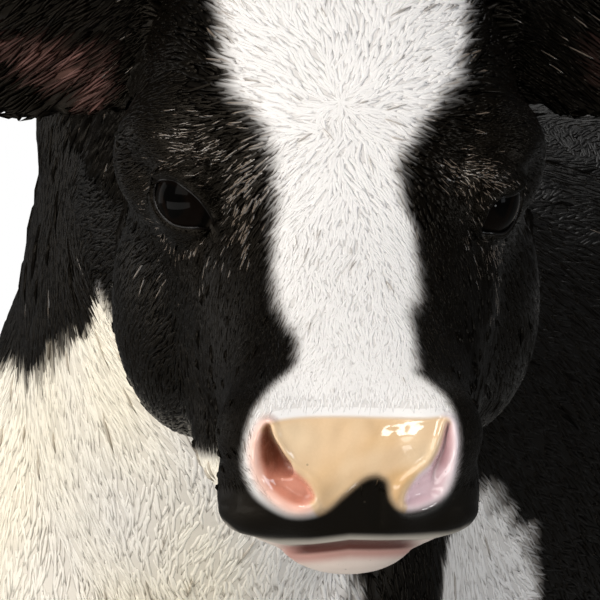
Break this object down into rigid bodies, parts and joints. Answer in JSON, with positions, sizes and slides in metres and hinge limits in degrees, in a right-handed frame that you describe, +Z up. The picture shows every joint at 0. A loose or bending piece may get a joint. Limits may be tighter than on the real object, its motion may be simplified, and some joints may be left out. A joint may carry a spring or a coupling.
{
  "type": "calf statue",
  "caption": "Life-size painted resin statue of a standing black-and-white dairy calf, its head lowered a little and turned to its left, for garden or shop display.",
  "frame": {"origin": "on the floor, under the middle of the statue's bounding box", "axes": "+Z up; the body faces -Y with the calf's left side on +X; the head is turned towards +X"},
  "size_m": [0.4504, 1.15, 0.8924],
  "materials": {
    "black_coat": "glossy black paint over carved hair",
    "white_coat": "satin warm-white paint over carved hair",
    "muzzle_paint": "wet-look gloss, tan shading to pink at the nostrils",
    "eye_glass": "polished, dark brown, opaque",
    "hoof_paint": "satin dark horn paint"
  },
  "bodies": {
    "root": {"head": "black_coat", "muzzle": "muzzle_paint", "lower_jaw": "white_coat", "neck": "black_coat", "trunk": "black_coat", "foreleg_left": "white_coat", "foreleg_right": "white_coat", "hind_leg_left": "white_coat", "hind_leg_right": "white_coat", "tail": "black_coat", "tail_switch": "white_coat", "ear_left": "black_coat", "ear_right": "black_coat", "eye_left": "eye_glass", "eye_right": "eye_glass", "hoof_front_left": "hoof_paint", "hoof_front_right": "hoof_paint", "hoof_hind_left": "hoof_paint", "hoof_hind_right": "hoof_paint"}
  },
  "joints": []
}
